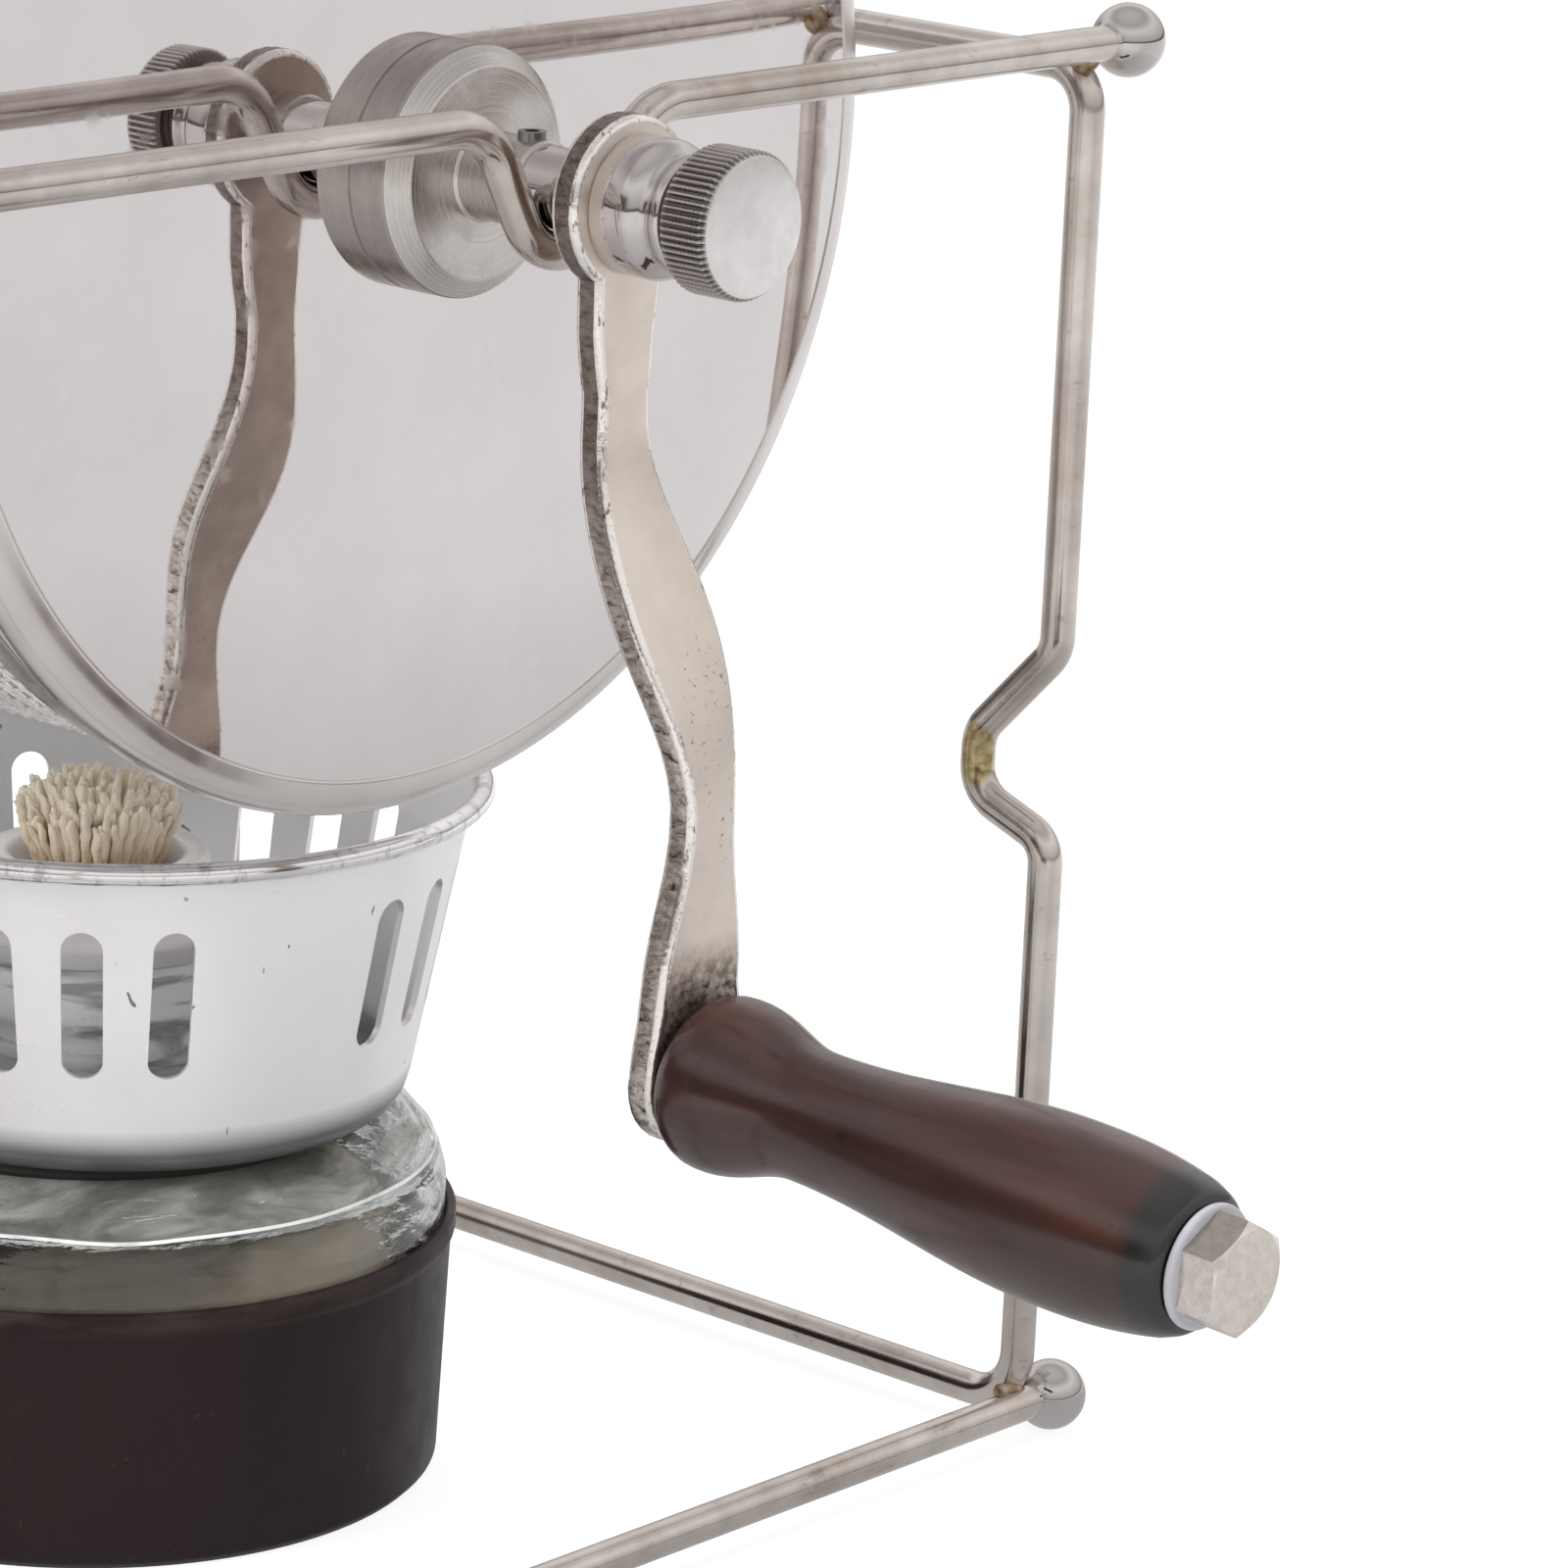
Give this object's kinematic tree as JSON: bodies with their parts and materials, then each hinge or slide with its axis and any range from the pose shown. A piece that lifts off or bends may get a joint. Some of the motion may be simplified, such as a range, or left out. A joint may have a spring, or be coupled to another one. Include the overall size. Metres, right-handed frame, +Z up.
{
  "type": "stovetop coffee bean roaster",
  "caption": "Wire stand carrying a hand cranked mesh roasting drum with polished end discs over a spirit burner with a slotted wind shield.",
  "frame": {"origin": "on the ground, midway between the four base balls and under the middle of the drum", "axes": "+X along the drum's shaft towards the crank, +Y across the stand, +Z up"},
  "size_m": [0.2257, 0.1814, 0.2141],
  "materials": {
    "nickel_wire": "nickel plated wire",
    "polished_ball": "polished",
    "weld_tint": "heat tinted",
    "mirror_steel": "mirror polished stainless steel",
    "mesh_steel": "woven wire",
    "turned_steel": "turned and brushed",
    "chrome_ring": "polished",
    "dark_steel": "oiled",
    "cast_nickel": "nickel plated casting",
    "knurled_steel": "knurled",
    "red_wood": "dark red lacquer",
    "white_nylon": "satin",
    "brown_plastic": "satin moulded",
    "clear_glass": "clear",
    "cotton": "cotton",
    "black_rubber": "matte",
    "white_ceramic": "glazed ceramic",
    "satin_aluminium": "satin spun"
  },
  "bodies": {
    "stand": {"side_loop_left": "nickel_wire", "side_loop_right": "nickel_wire", "top_bar_crank": "nickel_wire", "top_bar_far": "nickel_wire", "base_bar_crank": "nickel_wire", "base_bar_far": "nickel_wire", "ball_ends": "polished_ball", "weld_beads": "weld_tint"},
    "drum": {"drum_mesh": "mesh_steel", "crank_end_disc": "mirror_steel", "far_end_disc": "mirror_steel", "shaft": "chrome_ring", "crank_hub": "turned_steel", "far_hub": "turned_steel", "hub_set_screws": "dark_steel", "far_collar": "turned_steel", "shaft_collar": "turned_steel", "stirring_vanes": "mesh_steel", "door_rails": "turned_steel", "crank_arm": "cast_nickel", "arm_ferrule": "chrome_ring", "grip_bolt": "turned_steel", "grip_washer": "white_nylon"},
    "door": {"filling_door": "mesh_steel"},
    "nut": {"thumb_nut": "knurled_steel"},
    "grip": {"wooden_grip": "red_wood"},
    "burner": {"base_cup": "brown_plastic", "glass_reservoir": "clear_glass", "fuel_wadding": "cotton", "seal_ring": "black_rubber", "wick_holder": "white_ceramic", "wick": "cotton", "wind_shield": "satin_aluminium"}
  },
  "joints": [
    {"name": "drum_spin", "type": "hinge", "parent": "stand", "child": "drum", "pos_m": [0, 0, 0.1484], "axis": [1, 0, 0], "continuous": true},
    {"name": "door_slide_round", "type": "hinge", "parent": "drum", "child": "door", "pos_m": [0, 0, 0.1484], "axis": [1, 0, 0], "range_deg": [0, 54]},
    {"name": "nut_turn", "type": "hinge", "parent": "drum", "child": "nut", "pos_m": [0.086, 0, 0.1484], "axis": [1, 0, 0], "range_deg": [0, 1080]},
    {"name": "grip_spin", "type": "hinge", "parent": "drum", "child": "grip", "pos_m": [0.0855, 0.0015, 0.0642], "axis": [0.9985, 0, -0.0541], "continuous": true},
    {"name": "burner_lift_out", "type": "slide", "parent": "stand", "child": "burner", "axis": [0, -0.9882, 0.1532], "range_m": [0, 0.16]}
  ]
}
